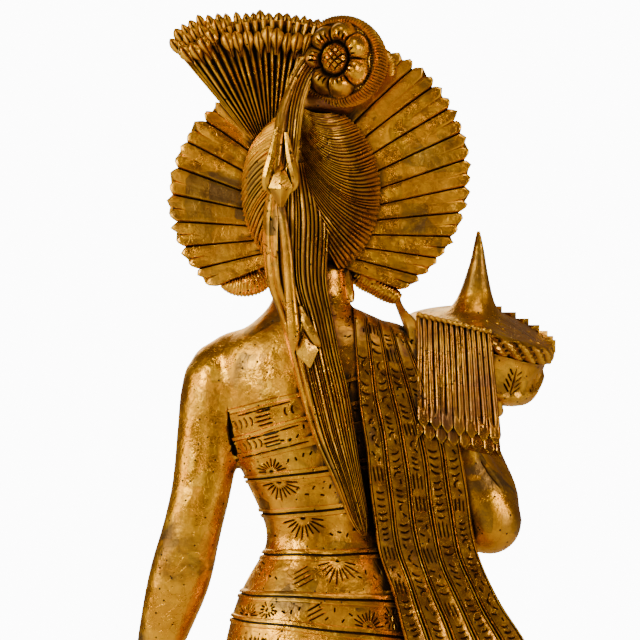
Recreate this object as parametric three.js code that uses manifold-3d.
// A standing woman carved from one block of wood and covered with gold leaf, who carries a lidded bowl.
// Sizes are in millimetres. She faces -Y, +Z is up, and the origin is in the middle of the underside.
import * as THREE from 'three';
import { mergeVertices } from 'three/addons/utils/BufferGeometryUtils.js';
import Module from 'manifold-3d';

const wasm = await Module();
wasm.setup();

// The low base under the feet: an oval moulding with a flat underside.
const BASE = { halfWidth: 116, halfDepth: 92, sides: 20 };
const BASE_PROFILE = [
  [0, 0], [0.97, 0], [1, 3], [1, 8], [0.93, 12], [0.9, 17], [0.94, 23], [0.91, 28], [0, 28],
];

// The body and the wrapped skirt, as level sections from the neck down. Each has its height on the axis,
// the axis' x, its half width, how far the back and the front stand off, and how steeply the section
// climbs towards the figure's right.
const BODY = [
  { z: 606, x: 16, wide: 19, back: 14, front: 18, rise: 0 },
  { z: 582, x: 15, wide: 22, back: 16, front: 17, rise: 0.05 },
  { z: 568, x: 16, wide: 25, back: 19, front: 19, rise: 0.05 },
  { z: 558, x: 17, wide: 36, back: 25, front: 23, rise: 0.08 },
  { z: 547, x: 16, wide: 59, back: 31, front: 28, rise: 0.13 },
  { z: 530, x: 14.5, wide: 61, back: 36, front: 33, rise: 0.2 },
  { z: 508, x: 13, wide: 56, back: 38, front: 37, rise: 0.29 },
  { z: 485, x: 10, wide: 50.5, back: 35, front: 36, rise: 0.26 },
  { z: 464, x: 7, wide: 48, back: 31, front: 32, rise: 0.13 },
  { z: 441, x: 5, wide: 40.8, back: 28, front: 30, rise: 0.08 },
  { z: 426, x: 4.2, wide: 38, back: 27, front: 30, rise: 0.05 },
  { z: 413, x: 4, wide: 41.5, back: 30, front: 32, rise: 0.02 },
  { z: 392, x: 3, wide: 54, back: 40, front: 36, rise: -0.02 },
  { z: 366, x: 3, wide: 61.5, back: 48, front: 38, rise: -0.1 },
  { z: 328, x: 2.5, wide: 68, back: 51, front: 38, rise: -0.12 },
  { z: 262, x: 2, wide: 61, back: 42, front: 36, rise: -0.05 },
  { z: 190, x: 1, wide: 49, back: 33, front: 33, rise: 0 },
  { z: 120, x: 0, wide: 46, back: 32, front: 32, rise: 0 },
  { z: 66, x: 0, wide: 53, back: 38, front: 36, rise: 0 },
  { z: 36, x: 0, wide: 60, back: 46, front: 39, rise: 0 },
];
const BODY_SIDES = 16;
const BODY_SQUARENESS = 2.15;
const SPINE = { depth: 4, halfWidth: 9, top: 545, bottom: 405 };
const PLAIN_RINGS = [606, 567, 557, 547, 530, 427, 325, 190, 125];
const BANDS = [515, 498.7, 485.4, 465.6, 441.3, 414, 387.3, 368.3, 250, 60];
const BAND = { halfWidth: 2.4, height: 1.3 };
const HEM = { z: 36, underside: 24, inset: 0.82 };
const BREAST = { left: [37, -27, 484], right: [-9, -27, 495], radii: [21, 19, 19] };

// The arms, as stations along their middle lines with the half widths across and in depth.
const LEFT_ARM = [
  { p: [74, -1, 528], across: 18.6, deep: 20 },
  { p: [75.5, 0, 512], across: 20.5, deep: 21 },
  { p: [78.5, 1, 484], across: 20, deep: 19.5 },
  { p: [82.5, 3, 455], across: 18.7, deep: 18.5 },
  { p: [88, 3, 430], across: 18, deep: 18 },
  { p: [96.6, 0, 397], across: 18.8, deep: 17 },
  { p: [108.2, -7, 359], across: 14.2, deep: 13.5 },
  { p: [120, -15, 312], across: 8.6, deep: 9.6 },
  { p: [123, -17, 299], across: 8, deep: 12.5 },
  { p: [126, -19, 282], across: 7.5, deep: 15 },
  { p: [127.5, -20, 268], across: 6.5, deep: 15.5 },
];
const RIGHT_UPPER_ARM = [
  { p: [-43, -1, 530], across: 19, deep: 20 },
  { p: [-54, 0, 512], across: 20, deep: 20.5 },
  { p: [-68, 2, 485], across: 19, deep: 19.5 },
  { p: [-82, 3, 460], across: 19.5, deep: 19.5 },
  { p: [-91, 2, 442], across: 20.5, deep: 20 },
  { p: [-96, 0, 430], across: 16, deep: 15 },
];
const RIGHT_FOREARM = [
  { p: [-95.5, 2, 432], across: 18, deep: 17 },
  { p: [-95, -7, 447], across: 19.5, deep: 19 },
  { p: [-91, -21, 467], across: 16, deep: 16 },
  { p: [-88.5, -34, 484], across: 12, deep: 12 },
  { p: [-89, -42, 494], across: 10, deep: 9 },
  { p: [-89, -40, 502], across: 13, deep: 7 },
];
const ARM_SIDES = 8;
const SHOULDER = { centre: [70.5, -1, 526.5], radii: [20, 20, 19] };
const ELBOW = { centre: [-96, 1, 433], radius: 21 };
const PALM = { centre: [-90, -26, 503], radii: [16, 20, 6] };
const FINGERS = { count: 4, pitch: 7.4, radius: 3.7, tipRadius: 2.4, sides: 4 };
const LEFT_FINGERS = { root: [127.5, -31, 271], fall: [3, 2, -31], bend: [2.5, 0, 0] };
const RIGHT_FINGERS = { root: [-101, -14, 503], fall: [0, 27, 6], bend: [0, 0, -4] };
const THUMBS = [
  [[122, -30, 292], [124, -38, 279], [127, -40, 266]],
  [[-78, -36, 503], [-68, -28, 507], [-63, -18, 513]],
];

// The head: an egg of hair, with the face as a carved front of its own.
const HAIR = { centre: [15, 4, 637.4], radii: [43.4, 44, 54.6], rootY: -8 };
const HAIR_LOCKS = { right: 8, left: 5, steps: 4, depth: 2.2 };
const FOREHEAD = { centre: [15, -3, 638], radii: [40, 38, 50] };
const PART_LINE = { x: 21, top: 688, bottom: 623 };
const RIGHT_EDGE = { from: 76, to: -63 };
const LEFT_EDGE = { from: 66, to: -70 };
const FACE = {
  x: 15, chin: 585, top: 676, wide: 34, y: -12, deep: 35, jaw: 0.62, columns: 12, rows: 10, sunk: 6,
};
const FACE_LINES = { brow: 646, eye: 637, nose: 616, mouth: 605.5, eyeGap: 14.5 };
const DIADEM = { radius: 7.6, rib: 1.3, sides: 5, ribs: 9 };
const DIADEM_ROUTE = [
  [-38, -6, 576], [-26, -9, 579], [-15, -14, 588], [-20, -18, 606], [-22, -20, 637], [-9, -26, 672],
  [15, -29, 686], [39, -26, 672], [52, -20, 637], [50, -18, 606], [48, -14, 588], [59, -9, 580],
  [73, -6, 579],
];

// The two pleated fans that make a disc behind the head. The pleats of each run from a pole of their own
// inside the hair out to the round rim, and each pleat ends in two rounded teeth.
const BOARD = { back: -2.5, thick: 9.5 };
const PLEAT = { lip: 2.2, groove: 2.2, tooth: 3.6, inner: 36 };
const RIGHT_FAN = {
  pole: [51.5, 612.6], rim: [-0.2, 648.2], radius: 85.4, side: -1, from: -21.4, step: 6.7, pleats: 11,
};
const LEFT_FAN = {
  pole: [-9.9, 612.6], rim: [31.3, 635], radius: 73.4, side: 1, from: -22.1, step: 8.5, pleats: 9,
};
const STRUT = [
  { p: [-38, -8, 576], across: 3.4, deep: 3.4 },
  { p: [-42, -6, 568], across: 2.8, deep: 3.6 },
  { p: [-47, 4, 554], across: 6, deep: 7 },
];
const STRUT_SIDES = 5;

// The plume of slender buds that spreads from the crown. Every second bud is shorter and stands further out.
const PLUME = { apex: [39, 654], from: -19, to: 40, rods: 16, inner: 22, root: [2, 8], tipFront: -4 };
const PLUME_BUDS = { long: 98.5, short: 95, notch: 3.5, back: 11, out: 18, ridge: 1.6 };

// The coiled bun on the crown with an open flower on its back face.
const BUN = { face: [0.6, 30, 718.5], radius: 29, length: 34, ribs: 10, rib: 1.4, turn: 0.38, nod: 0.1 };
const BUN_STEPS = [[-34, 0.88], [-28, 1], [-7, 0.96], [0, 0.8]];
const BUN_ROOT = { centre: [4, 8, 690], radii: [21, 20, 13] };
const FLOWER = { wide: 22, tall: 25, petals: 7, petal: [8.5, 6, 9.5], dome: [8, 7, 11] };

// The long tail of hair down the back: the two edges, the height of its crown and how far it drops away.
const TAIL = [
  { z: 654, left: 37, right: 14, crown: 46, drop: 6, root: 6 },
  { z: 623, left: 44, right: 4, crown: 52, drop: 14, root: 6 },
  { z: 583, left: 42.2, right: 5, crown: 50, drop: 9, root: 6 },
  { z: 558.6, left: 33.7, right: 1, crown: 48, drop: 7, root: 6 },
  { z: 537.2, left: 27.9, right: -3.1, crown: 47, drop: 6, root: 18 },
  { z: 514.6, left: 22.3, right: -8.3, crown: 47, drop: 6, root: 22 },
  { z: 483.2, left: 12.4, right: -13.3, crown: 46, drop: 6, root: 22 },
  { z: 459, left: 0.9, right: -16.8, crown: 43, drop: 5, root: 20 },
  { z: 434.8, left: -9.1, right: -20.8, crown: 40, drop: 4, root: 20 },
  { z: 426, left: -16, right: -19.5, crown: 37, drop: 1, root: 22 },
];
const TAIL_RIDGES = { count: 5, height: 1.6 };
const LOCK_ROUTE = [[20, 26, 707], [25, 34, 690], [28, 46, 663], [30.5, 51, 640]];
const LOCK_WIDTHS = [7, 6, 5, 5.5];
const STRAND_ROUTE = [[33, 49, 620], [32, 52, 590], [25, 53, 568], [18.5, 53, 546]];
const STRAND_WIDTHS = [4, 5, 5, 5.5];
const STRAND = { sides: 5, depth: 0.85 };
const LILIES = [[31, 53, 633], [18.5, 54, 538]];
const LILY = { halfWidth: 7.6, rise: 5, fall: 9, thick: 5 };

// The sash over the right shoulder, as stations from the front of the shoulder down to its free end.
// Each has the left and the right edge with their y, and the y of the wood behind each edge. Where the
// sash lies over the top of the shoulder, the wood behind is also sunk below the edges.
const SASH = [
  { left: [-9, -31, 540], right: [-44, -24, 532], behind: [-14, -8] },
  { left: [-9, -12, 563], right: [-43, -12, 550], behind: [-4, -4], sunk: 14 },
  { left: [-11, 10, 566], right: [-48, 10, 549], behind: [4, 2], sunk: 14 },
  { left: [-11.5, 27, 558], right: [-52, 24, 542], behind: [5, 3] },
  { left: [-14, 40, 514.6], right: [-66.5, 33, 510], behind: [5, 3] },
  { left: [-18.3, 40, 483.2], right: [-76.6, 33, 480.5], behind: [5, 3] },
  { left: [-26, 40, 420], right: [-87, 33, 418], behind: [5, 16] },
  { left: [-35, 50, 391.5], right: [-100, 37, 387.3], behind: [12, 26] },
  { left: [-43, 55, 361], right: [-116.7, 38, 361], behind: [24, 27] },
  { left: [-59, 54, 306], right: [-139, 32, 318], behind: [34, 21] },
];
const SASH_BANDS = 5;
const SASH_FRONT_BANDS = 3;
const SASH_EDGE = 1.8;
const SASH_FRONT = [
  { left: [-4, -46, 515], right: [-36, -41, 510], behind: [-16, -10] },
  { left: [2, -52, 490], right: [-30, -46, 486], behind: [-20, -14] },
  { left: [6, -44, 462], right: [-26, -40, 458], behind: [-18, -12] },
  { left: [13, -44, 396], right: [-20, -42, 392], behind: [-24, -18] },
  { left: [14, -45, 372], right: [-20, -43, 368], behind: [-28, -22] },
];

// The fluted cloth that hangs from the bowl over the upper arm, and its two rows of leaf tips.
const CLOTH = { flutes: 10, flute: 2.6, tip: 7, thick: 9, belly: 2 };
const CLOTH_CORNERS = {
  topLeft: [-49.9, 27, 561],
  topRight: [-96.1, 28, 550],
  lowLeft: [-50.4, 41, 497],
  lowRight: [-101.7, 40, 485],
};
const CLOTH_LAYERS = [
  { levels: [0, 0.55, 1], drop: 0, inset: 0, shift: 0 },
  { levels: [0.8, 1], drop: 9, inset: 2.5, shift: 1 },
];

// The bowl with its spired lid. It hangs low on the figure's right and leans towards the back.
const BOWL = { x: -89.6, y: -20, rim: 552.5, sides: 16, slope: 0.235, lean: -0.14 };
const BOWL_PROFILE = [[15, -46], [28, -41], [39, -26], [42.5, -9], [47, -5.5], [48, 1]];
const LID_PROFILE = [[44, 3.6], [28, 5.4], [16, 10], [9.5, 21], [5, 39], [1.2, 60.6]];
const RIM_BLOCK = 1.8;

// The open end of the skirt in front, and the feet under the hem.
const FRONT_FOLD = [
  { left: [-4, -41, 408], right: [14, -40, 408], behind: [-20, -20] },
  { left: [-9, -46, 340], right: [17, -46, 340], behind: [-26, -26] },
  { left: [-11, -44, 230], right: [19, -44, 230], behind: [-24, -24] },
  { left: [-13, -41, 130], right: [21, -41, 130], behind: [-22, -22] },
  { left: [-19, -48, 34], right: [27, -48, 34], behind: [-26, -26] },
];
const FRONT_FLUTES = { count: 2, height: 2.4 };
const FOOT = { spread: 17, length: 34, wide: 11.5, height: 13, front: -42, sides: 7 };

const FLAT_TOLERANCE = 1e-4;
const TURN = Math.PI * 2;

// Turns points and triangles into a closed solid whose faces point out.
function solid(positions, triangles) {
  const geometry = new THREE.BufferGeometry();
  geometry.setAttribute('position', new THREE.Float32BufferAttribute(positions, 3));
  geometry.setIndex(triangles);
  return solidOf(geometry);
}

function solidOf(source) {
  const geometry = source.index ? source.clone() : mergeVertices(source);
  geometry.deleteAttribute('normal');
  geometry.deleteAttribute('uv');
  const merged = mergeVertices(geometry, FLAT_TOLERANCE);
  const vertProperties = Float32Array.from(merged.attributes.position.array);
  const faces = [];
  const corner = [new THREE.Vector3(), new THREE.Vector3(), new THREE.Vector3()];
  let volume = 0;
  for (let i = 0; i < merged.index.count; i += 3) {
    const face = [0, 1, 2].map((k) => merged.index.getX(i + k));
    if (face[0] !== face[1] && face[1] !== face[2] && face[2] !== face[0]) {
      faces.push(face);
      face.forEach((v, k) => corner[k].fromArray(vertProperties, v * 3));
      volume += corner[0].dot(corner[1].clone().cross(corner[2]));
    }
  }
  const outward = volume > 0 ? faces : faces.map(([a, b, c]) => [a, c, b]);
  const triVerts = Uint32Array.from(outward.flat());
  return new wasm.Manifold(new wasm.Mesh({ numProp: 3, vertProperties, triVerts }));
}

// Joins a stack of closed rings into a solid, with a fan of faces over each end.
function ringSolid(rings) {
  const sides = rings[0].length;
  const points = rings.flat();
  const triangles = [];
  for (let r = 0; r + 1 < rings.length; r += 1) {
    for (let s = 0; s < sides; s += 1) {
      const a = r * sides + s;
      const b = r * sides + ((s + 1) % sides);
      triangles.push(a, b, b + sides, a, b + sides, a + sides);
    }
  }
  for (const last of [0, rings.length - 1]) {
    const middle = new THREE.Vector3();
    rings[last].forEach((p) => middle.addScaledVector(p, 1 / sides));
    const hub = points.length;
    points.push(middle);
    for (let s = 0; s < sides; s += 1) {
      const a = last * sides + s;
      const b = last * sides + ((s + 1) % sides);
      triangles.push(...(last === 0 ? [a, hub, b] : [a, b, hub]));
    }
  }
  return solid(points.flatMap((p) => p.toArray()), triangles);
}

// Makes a plate from two grids of points with the same rows and columns, one behind the other.
function plateSolid(outer, inner) {
  const rows = outer.length;
  const columns = outer[0].length;
  const points = [...outer.flat(), ...inner.flat()];
  const at = (side, r, c) => side * rows * columns + r * columns + c;
  const triangles = [];
  const quad = (a, b, c, d) => triangles.push(a, b, c, a, c, d);
  for (let r = 0; r + 1 < rows; r += 1) {
    for (let c = 0; c + 1 < columns; c += 1) {
      quad(at(0, r, c), at(0, r, c + 1), at(0, r + 1, c + 1), at(0, r + 1, c));
      quad(at(1, r, c), at(1, r + 1, c), at(1, r + 1, c + 1), at(1, r, c + 1));
    }
    quad(at(0, r, 0), at(0, r + 1, 0), at(1, r + 1, 0), at(1, r, 0));
    quad(at(0, r + 1, columns - 1), at(0, r, columns - 1), at(1, r, columns - 1), at(1, r + 1, columns - 1));
  }
  for (let c = 0; c + 1 < columns; c += 1) {
    quad(at(0, 0, c + 1), at(0, 0, c), at(1, 0, c), at(1, 0, c + 1));
    quad(at(0, rows - 1, c), at(0, rows - 1, c + 1), at(1, rows - 1, c + 1), at(1, rows - 1, c));
  }
  return solid(points.flatMap((p) => p.toArray()), triangles);
}

// A round limb along a list of stations, each ring square to the way.
function limbSolid(stations, sides) {
  const middles = stations.map((s) => new THREE.Vector3(...s.p));
  const rings = stations.map((station, i) => {
    const before = middles[Math.max(i - 1, 0)];
    const after = middles[Math.min(i + 1, middles.length - 1)];
    const along = after.clone().sub(before).normalize();
    const depth = Math.abs(along.y) > 0.85 ? new THREE.Vector3(0, 0, 1) : new THREE.Vector3(0, 1, 0);
    const across = new THREE.Vector3().crossVectors(along, depth).normalize();
    const out = new THREE.Vector3().crossVectors(across, along).normalize();
    return Array.from({ length: sides }, (_, k) => {
      const turn = (k / sides) * TURN;
      return middles[i].clone()
        .addScaledVector(across, station.across * Math.cos(turn))
        .addScaledVector(out, station.deep * Math.sin(turn));
    });
  });
  return ringSolid(rings);
}

function ballSolid(centre, radii, columns = 8, rows = 5) {
  const ball = new THREE.SphereGeometry(1, columns, rows);
  ball.scale(...radii);
  ball.translate(...centre);
  return solidOf(ball);
}

// Reads a smooth curve through the stations' values at a height, where the stations run downwards.
function valueAt(stations, key, z) {
  const last = stations.length - 1;
  const i = Math.min(Math.max(stations.findIndex((s) => s.z <= z), 1), last);
  const [a, b] = [stations[i - 1], stations[i]];
  const slope = (k) => {
    const [p, q] = [stations[Math.max(k - 1, 0)], stations[Math.min(k + 1, last)]];
    return (q[key] - p[key]) / (q.z - p.z);
  };
  const span = b.z - a.z;
  const t = THREE.MathUtils.clamp((z - a.z) / span, 0, 1);
  const [t2, t3] = [t * t, t * t * t];
  return a[key] * (2 * t3 - 3 * t2 + 1) + slope(i - 1) * span * (t3 - 2 * t2 + t)
    + b[key] * (3 * t2 - 2 * t3) + slope(i) * span * (t3 - t2);
}

// One section of the body, swollen where a raised band goes round it.
function bodyRing(z, swell) {
  const [x, wide, back, front, rise] = ['x', 'wide', 'back', 'front', 'rise'].map((k) => valueAt(BODY, k, z));
  const hollow = z < SPINE.top && z > SPINE.bottom ? SPINE.depth : 0;
  return Array.from({ length: BODY_SIDES }, (_, k) => {
    const turn = (k / BODY_SIDES) * TURN;
    const [c, s] = [Math.cos(turn), Math.sin(turn)];
    const spread = Math.abs(c) ** BODY_SQUARENESS + Math.abs(s) ** BODY_SQUARENESS;
    const round = spread ** (-1 / BODY_SQUARENESS);
    const across = (wide + swell) * round * c;
    const spine = s > 0 ? hollow * Math.exp(-((across / SPINE.halfWidth) ** 2)) : 0;
    const deep = (s > 0 ? back : front) + swell;
    return new THREE.Vector3(x + across, deep * round * s - spine, z - across * rise);
  });
}

function bodySolid() {
  const levels = PLAIN_RINGS.map((z) => ({ z, swell: 0 }));
  for (const z of BANDS) {
    levels.push({ z: z + BAND.halfWidth, swell: 0 });
    levels.push({ z, swell: BAND.height });
    levels.push({ z: z - BAND.halfWidth, swell: 0 });
  }
  levels.sort((a, b) => b.z - a.z);
  const rings = levels.map((level) => bodyRing(level.z, level.swell));
  const hem = bodyRing(HEM.z, 0);
  const tucked = (p, z) => new THREE.Vector3(p.x * HEM.inset, p.y * HEM.inset, z);
  rings.push(hem, hem.map((p) => tucked(p, HEM.z)), hem.map((p) => tucked(p, HEM.underside)));
  return ringSolid(rings);
}

function baseSolid() {
  const profile = BASE_PROFILE.map(([r, z]) => new THREE.Vector2(r * BASE.halfWidth, z));
  const oval = new THREE.LatheGeometry(profile, BASE.sides);
  oval.rotateX(Math.PI / 2);
  oval.scale(1, -BASE.halfDepth / BASE.halfWidth, 1);
  return solidOf(oval);
}

// Four slender fingers side by side, each bent a little at the middle.
function fingerSolids(hand, sidestep) {
  const root = new THREE.Vector3(...hand.root);
  const fall = new THREE.Vector3(...hand.fall);
  const bend = new THREE.Vector3(...hand.bend);
  return Array.from({ length: FINGERS.count }, (_, i) => {
    const reach = 1 - 0.12 * Math.abs(i - 1.4);
    const start = root.clone().addScaledVector(sidestep, i * FINGERS.pitch);
    const middle = start.clone().addScaledVector(fall, 0.5 * reach).add(bend);
    const tip = start.clone().addScaledVector(fall, reach);
    const stations = [
      { p: start.toArray(), across: FINGERS.radius, deep: FINGERS.radius },
      { p: middle.toArray(), across: FINGERS.radius, deep: FINGERS.radius },
      { p: tip.toArray(), across: FINGERS.tipRadius, deep: FINGERS.tipRadius },
    ];
    return limbSolid(stations, FINGERS.sides);
  });
}

function armSolids() {
  const thumbs = THUMBS.map((route) => {
    const across = (i) => FINGERS.radius * (1.15 - 0.2 * i);
    return limbSolid(route.map((p, i) => ({ p, across: across(i), deep: FINGERS.radius })), FINGERS.sides);
  });
  return [
    limbSolid(LEFT_ARM, ARM_SIDES),
    limbSolid(RIGHT_UPPER_ARM, ARM_SIDES),
    limbSolid(RIGHT_FOREARM, ARM_SIDES),
    ballSolid(SHOULDER.centre, SHOULDER.radii),
    ballSolid(ELBOW.centre, [ELBOW.radius, ELBOW.radius, ELBOW.radius]),
    ballSolid(PALM.centre, PALM.radii),
    ...fingerSolids(LEFT_FINGERS, new THREE.Vector3(0, 1, 0)),
    ...fingerSolids(RIGHT_FINGERS, new THREE.Vector3(1, 0, 0)),
    ...thumbs,
    ballSolid(BREAST.left, BREAST.radii),
    ballSolid(BREAST.right, BREAST.radii),
  ];
}

// How far back the hair's egg stands at a given x and z.
function hairBack(x, z) {
  const [cx, cy, cz] = HAIR.centre;
  const [rx, ry, rz] = HAIR.radii;
  const inside = 1 - ((x - cx) / rx) ** 2 - ((z - cz) / rz) ** 2;
  return cy + ry * Math.sqrt(Math.max(inside, 0));
}

// The point where the hair's outline runs, at an angle in degrees from level.
function hairOutline(side, degrees) {
  const turn = THREE.MathUtils.degToRad(degrees);
  const x = HAIR.centre[0] + side * HAIR.radii[0] * Math.cos(turn);
  return [x, HAIR.centre[2] + HAIR.radii[2] * Math.sin(turn)];
}

// Locks of hair combed from the parting to the outline of the head on one side.
function lockSolid(side, locks, edge) {
  const columns = locks * 2 + 1;
  const outer = [];
  const inner = [];
  for (let r = 0; r <= HAIR_LOCKS.steps; r += 1) {
    const t = r / HAIR_LOCKS.steps;
    const outerRow = [];
    const innerRow = [];
    for (let c = 0; c < columns; c += 1) {
      const across = c / (columns - 1);
      const rise = THREE.MathUtils.lerp(PART_LINE.top, PART_LINE.bottom, across);
      const [endX, endZ] = hairOutline(side, THREE.MathUtils.lerp(edge.from, edge.to, across));
      const [midX, midZ] = [(PART_LINE.x + endX * 2) / 3, (rise + endZ) / 2 - 3];
      const x = (1 - t) ** 2 * PART_LINE.x + 2 * t * (1 - t) * midX + t * t * endX;
      const z = (1 - t) ** 2 * rise + 2 * t * (1 - t) * midZ + t * t * endZ;
      const groove = c % 2 === 0 ? HAIR_LOCKS.depth : 0;
      outerRow.push(new THREE.Vector3(x, hairBack(x, z) - groove, z));
      innerRow.push(new THREE.Vector3(x, HAIR.rootY, z));
    }
    outer.push(outerRow);
    inner.push(innerRow);
  }
  return plateSolid(outer, inner);
}

// How far the face stands out of its egg, from the brow down to the chin.
function faceRelief(x, z) {
  const bump = (cx, cz, wx, wz, height) => (
    height * Math.exp(-(((x - cx) / wx) ** 2) - (((z - cz) / wz) ** 2))
  );
  const { brow, eye, nose, mouth, eyeGap } = FACE_LINES;
  const ridge = THREE.MathUtils.clamp((brow - 4 - z) / (brow - 4 - nose), 0, 1);
  const bridge = z > nose - 2 ? (1.5 + 8 * ridge ** 1.4) * Math.exp(-((x / (2.6 + 2.6 * ridge)) ** 2)) : 0;
  let relief = bridge + bump(0, mouth + 2, 8, 2, 2.4) + bump(0, mouth - 3, 6.5, 2.2, 2.4);
  relief += bump(0, 591, 9, 6, 2.6);
  for (const side of [-1, 1]) {
    relief += bump(side * eyeGap, brow, 9, 3, 1.8) + bump(side * eyeGap, eye - 2, 7, 3.6, 2.2);
    relief -= bump(side * eyeGap * 0.8, eye + 3, 8, 3, 2.2);
    relief += bump(side * 18, 618, 8, 9, 2);
  }
  return relief;
}

function faceSolid() {
  const outer = [];
  const inner = [];
  for (let r = 0; r <= FACE.rows; r += 1) {
    const z = THREE.MathUtils.lerp(FACE.top, FACE.chin, r / FACE.rows);
    const height = (z - FACE.chin) / (FACE.top - FACE.chin);
    const round = Math.sqrt(Math.max(1 - Math.abs(2 * height - 1) ** 2.6, 0.02));
    const wide = FACE.wide * round * THREE.MathUtils.lerp(FACE.jaw, 1, Math.min(height * 2.1, 1));
    const outerRow = [];
    const innerRow = [];
    for (let c = 0; c <= FACE.columns; c += 1) {
      const turn = Math.PI * (c / FACE.columns);
      const x = wide * Math.cos(turn);
      const front = FACE.y - FACE.deep * (0.35 + 0.65 * round) * Math.sin(turn) ** 0.8;
      outerRow.push(new THREE.Vector3(FACE.x + x, front - faceRelief(x, z), z));
      innerRow.push(new THREE.Vector3(FACE.x + x, FACE.y + FACE.sunk, z));
    }
    outer.push(outerRow);
    inner.push(innerRow);
  }
  return plateSolid(outer, inner);
}

// The ribbed border round the face, whose ends turn out under the fans.
function diademSolid() {
  const curve = new THREE.CatmullRomCurve3(DIADEM_ROUTE.map((p) => new THREE.Vector3(...p)));
  const steps = DIADEM.ribs * 2;
  const stations = Array.from({ length: steps + 1 }, (_, i) => {
    const radius = DIADEM.radius + (i % 2 ? DIADEM.rib : -DIADEM.rib);
    return { p: curve.getPointAt(i / steps).toArray(), across: radius, deep: radius };
  });
  return limbSolid(stations, DIADEM.sides);
}

// How far it is from a fan's pole to its rim in a direction.
function reachToRim(fan, cos, sin) {
  const [dx, dz] = [fan.pole[0] - fan.rim[0], fan.pole[1] - fan.rim[1]];
  const along = dx * cos + dz * sin;
  return -along + Math.sqrt(along * along - dx * dx - dz * dz + fan.radius ** 2);
}

function fanSolid(fan) {
  // Across one pleat: the place in it, how far it stands off the board, and how much shorter its ray is.
  const section = [
    { at: 0, off: -PLEAT.groove, short: PLEAT.tooth },
    { at: 0.17, off: PLEAT.lip, short: 0 },
    { at: 0.5, off: 0.5, short: PLEAT.tooth * 0.7 },
    { at: 0.75, off: 0, short: 0 },
  ];
  const rays = [];
  for (let pleat = 0; pleat < fan.pleats; pleat += 1) {
    section.forEach((s) => rays.push({ ...s, at: pleat + s.at }));
  }
  rays.push({ at: fan.pleats, off: -PLEAT.groove, short: PLEAT.tooth });
  const outer = [];
  const inner = [];
  for (const along of [0, 1]) {
    const points = rays.map((ray) => {
      const turn = THREE.MathUtils.degToRad(fan.from + fan.step * ray.at);
      const [cos, sin] = [fan.side * Math.cos(turn), Math.sin(turn)];
      const reach = reachToRim(fan, cos, sin) - ray.short;
      const r = THREE.MathUtils.lerp(PLEAT.inner, reach, along);
      return new THREE.Vector3(fan.pole[0] + r * cos, BOARD.back + ray.off, fan.pole[1] + r * sin);
    });
    outer.push(points);
    inner.push(points.map((p) => p.clone().setY(BOARD.back - BOARD.thick)));
  }
  return plateSolid(outer, inner);
}

// The plume: rods side by side, each swelling into a bud at its end.
function plumeSolid() {
  const columns = PLUME.rods * 2 + 1;
  const { long, short, notch, back, out, ridge } = PLUME_BUDS;
  const outer = [];
  const inner = [];
  for (const along of [0, 0.84, 1]) {
    const outerRow = [];
    const innerRow = [];
    for (let c = 0; c < columns; c += 1) {
      const turn = THREE.MathUtils.degToRad(THREE.MathUtils.lerp(PLUME.from, PLUME.to, c / (columns - 1)));
      const onRod = c % 2 === 1;
      const standsOut = c % 4 === 1;
      const reach = (standsOut ? short : long) - (onRod ? 0 : notch);
      const r = THREE.MathUtils.lerp(PLUME.inner, reach, along);
      const y = THREE.MathUtils.lerp(PLUME.root[1], standsOut ? out : back, along) + (onRod ? ridge : -ridge);
      const [x, z] = [PLUME.apex[0] + r * Math.sin(turn), PLUME.apex[1] + r * Math.cos(turn)];
      outerRow.push(new THREE.Vector3(x, y, z));
      innerRow.push(new THREE.Vector3(x, THREE.MathUtils.lerp(PLUME.root[0], PLUME.tipFront, along), z));
    }
    outer.push(outerRow);
    inner.push(innerRow);
  }
  return plateSolid(outer, inner);
}

// The bun is a ribbed drum, and its flower lies on the drum's slanted face.
function bunSolids() {
  const placed = (geometry) => {
    geometry.rotateX(BUN.nod);
    geometry.rotateZ(-BUN.turn);
    geometry.translate(...BUN.face);
    return solidOf(geometry);
  };
  const profile = [[0, BUN_STEPS[0][0]], ...BUN_STEPS.map(([y, size]) => [BUN.radius * size, y]), [0, 0]];
  const drum = new THREE.LatheGeometry(profile.map(([r, y]) => new THREE.Vector2(r, y)), BUN.ribs * 2);
  const spots = drum.attributes.position;
  for (let i = 0; i < spots.count; i += 1) {
    const rib = Math.round((Math.atan2(spots.getX(i), spots.getZ(i)) / TURN) * BUN.ribs * 2);
    const swell = 1 + ((rib % 2 ? BUN.rib : -BUN.rib) / BUN.radius);
    spots.setXYZ(i, spots.getX(i) * swell, spots.getY(i), spots.getZ(i) * swell);
  }
  const petals = Array.from({ length: FLOWER.petals }, (_, k) => {
    const turn = (k / FLOWER.petals) * TURN;
    const ball = new THREE.SphereGeometry(1, 6, 4);
    ball.scale(...FLOWER.petal);
    ball.rotateY(-turn + Math.PI / 2);
    const reach = [FLOWER.wide - FLOWER.petal[0], FLOWER.tall - FLOWER.petal[2]];
    ball.translate(reach[0] * Math.cos(turn), 0, reach[1] * Math.sin(turn));
    return placed(ball);
  });
  const dome = new THREE.SphereGeometry(1, 9, 5);
  dome.scale(...FLOWER.dome);
  return [placed(drum), ballSolid(BUN_ROOT.centre, BUN_ROOT.radii), ...petals, placed(dome)];
}

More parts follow.
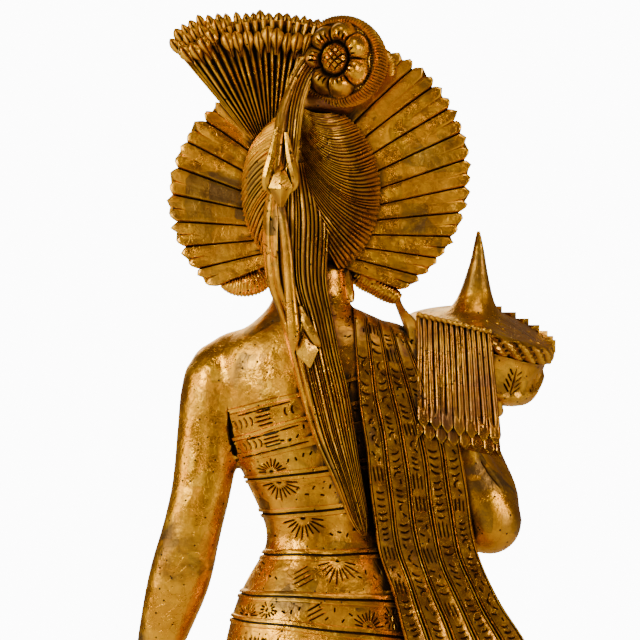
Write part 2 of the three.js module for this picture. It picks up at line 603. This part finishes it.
// The tail with its ridges, and the two narrow strands on it that end in lily-shaped tips.
function tailSolids() {
  const columns = TAIL_RIDGES.count * 2 + 1;
  const outer = [];
  const inner = [];
  for (const station of TAIL) {
    const outerRow = [];
    const innerRow = [];
    for (let c = 0; c < columns; c += 1) {
      const across = c / (columns - 1);
      const x = THREE.MathUtils.lerp(station.left, station.right, across);
      const fall = station.drop * (2 * across - 1) ** 2;
      const ridge = c % 2 ? TAIL_RIDGES.height : 0;
      outerRow.push(new THREE.Vector3(x, station.crown - fall + ridge, station.z));
      innerRow.push(new THREE.Vector3(x, station.root, station.z));
    }
    outer.push(outerRow);
    inner.push(innerRow);
  }
  const strand = (route, widths) => limbSolid(
    route.map((p, i) => ({ p, across: widths[i], deep: widths[i] * STRAND.depth })),
    STRAND.sides,
  );
  const lilies = LILIES.map(([x, y, z]) => {
    const { halfWidth, rise, fall, thick } = LILY;
    const ring = [[-halfWidth, rise], [0, rise * 2], [halfWidth, rise], [halfWidth * 0.5, 0], [0, -fall]];
    ring.push([-halfWidth * 0.5, 0]);
    const flat = (off, size) => (
      ring.map(([dx, dz]) => new THREE.Vector3(x + dx * size, y + off, z + dz * size))
    );
    return ringSolid([flat(-thick * 2, 1), flat(0, 1), flat(thick * 0.6, 0.3)]);
  });
  return [
    plateSolid(outer, inner),
    strand(LOCK_ROUTE, LOCK_WIDTHS),
    strand(STRAND_ROUTE, STRAND_WIDTHS),
    ...lilies,
  ];
}

// A long cloth with raised bands between its edges, from stations of two edges each.
function bandedSolid(stations, bands, ridge, outward) {
  const columns = bands * 2 + 1;
  const outer = [];
  const inner = [];
  for (const station of stations) {
    const [left, right] = [new THREE.Vector3(...station.left), new THREE.Vector3(...station.right)];
    const outerRow = [];
    const innerRow = [];
    for (let c = 0; c < columns; c += 1) {
      const across = c / (columns - 1);
      const point = left.clone().lerp(right, across);
      const behind = THREE.MathUtils.lerp(station.behind[0], station.behind[1], across);
      innerRow.push(new THREE.Vector3(point.x, behind, point.z - (station.sunk ?? 0)));
      outerRow.push(point.setY(point.y + outward * (c % 2 ? -ridge : 0)));
    }
    outer.push(outerRow);
    inner.push(innerRow);
  }
  return plateSolid(outer, inner);
}

// One layer of the fluted cloth. Its flutes end in points.
function clothSolid(layer) {
  const [topLeft, topRight, lowLeft, lowRight] = Object.values(CLOTH_CORNERS)
    .map((p) => new THREE.Vector3(...p));
  const columns = CLOTH.flutes * 2 + 1;
  const outer = [];
  const inner = [];
  for (const down of layer.levels) {
    const outerRow = [];
    const innerRow = [];
    for (let c = 0; c < columns; c += 1) {
      const across = c / (columns - 1);
      const onFlute = (c + layer.shift) % 2 === 1;
      const point = topLeft.clone().lerp(topRight, across);
      const low = lowLeft.clone().lerp(lowRight, across);
      low.z -= layer.drop + (onFlute ? CLOTH.tip : 0);
      point.lerp(low, down);
      point.y -= Math.sin(Math.PI * down) * CLOTH.belly + layer.inset;
      innerRow.push(point.clone().setY(point.y - CLOTH.thick));
      outerRow.push(point.setY(point.y + (onFlute ? CLOTH.flute / 2 : -CLOTH.flute / 2)));
    }
    outer.push(outerRow);
    inner.push(innerRow);
  }
  return plateSolid(outer, inner);
}

function bowlSolid() {
  const levels = [...BOWL_PROFILE, ...LID_PROFILE];
  const rings = levels.map(([radius, rise], i) => Array.from({ length: BOWL.sides }, (_, k) => {
    const turn = (k / BOWL.sides) * TURN;
    const onRim = i >= BOWL_PROFILE.length - 2 && i < BOWL_PROFILE.length;
    const r = radius - (onRim && k % 2 ? RIM_BLOCK : 0);
    const [dx, dy] = [r * Math.cos(turn), r * Math.sin(turn)];
    return new THREE.Vector3(BOWL.x + dx, BOWL.y + dy, BOWL.rim + rise + BOWL.slope * dx + BOWL.lean * dy);
  }));
  return ringSolid(rings);
}

function footSolids() {
  return [-1, 1].map((side) => {
    const x = side * FOOT.spread;
    const stations = [
      { p: [x, FOOT.front + FOOT.length * 0.6, 33], across: FOOT.wide * 0.8, deep: FOOT.height * 0.7 },
      { p: [x, FOOT.front, 33], across: FOOT.wide * 0.9, deep: FOOT.height * 0.6 },
      { p: [x, FOOT.front - FOOT.length * 0.55, 31], across: FOOT.wide, deep: FOOT.height * 0.38 },
    ];
    return limbSolid(stations, FOOT.sides);
  });
}

// Joins everything that is carved in one with the block.
function figureGeometry() {
  const pieces = [
    baseSolid(),
    bodySolid(),
    ...armSolids(),
    ...footSolids(),
    bandedSolid(FRONT_FOLD, FRONT_FLUTES.count, FRONT_FLUTES.height, -1),
    ballSolid(FOREHEAD.centre, FOREHEAD.radii, 12, 7),
    lockSolid(-1, HAIR_LOCKS.right, RIGHT_EDGE),
    lockSolid(1, HAIR_LOCKS.left, LEFT_EDGE),
    faceSolid(),
    diademSolid(),
    fanSolid(RIGHT_FAN),
    fanSolid(LEFT_FAN),
    plumeSolid(),
    ...bunSolids(),
    ...tailSolids(),
    bandedSolid(SASH, SASH_BANDS, SASH_EDGE, 1),
    bandedSolid(SASH_FRONT, SASH_FRONT_BANDS, SASH_EDGE, -1),
    ...CLOTH_LAYERS.map((layer) => clothSolid(layer)),
    bowlSolid(),
    limbSolid(STRUT, STRUT_SIDES),
  ];
  const whole = pieces.reduce((sum, piece) => sum.add(piece));
  const mesh = whole.getMesh();
  const geometry = new THREE.BufferGeometry();
  geometry.setAttribute('position', new THREE.BufferAttribute(mesh.vertProperties, 3));
  geometry.setIndex(new THREE.BufferAttribute(mesh.triVerts, 1));
  return geometry;
}

const gildedWood = new THREE.MeshStandardMaterial({ color: 0xb8862b, roughness: 0.38, metalness: 0.85 });
const figure = new THREE.Mesh(figureGeometry(), gildedWood);
figure.name = 'figure';

const part = new THREE.Group();
part.add(figure);
export default part;
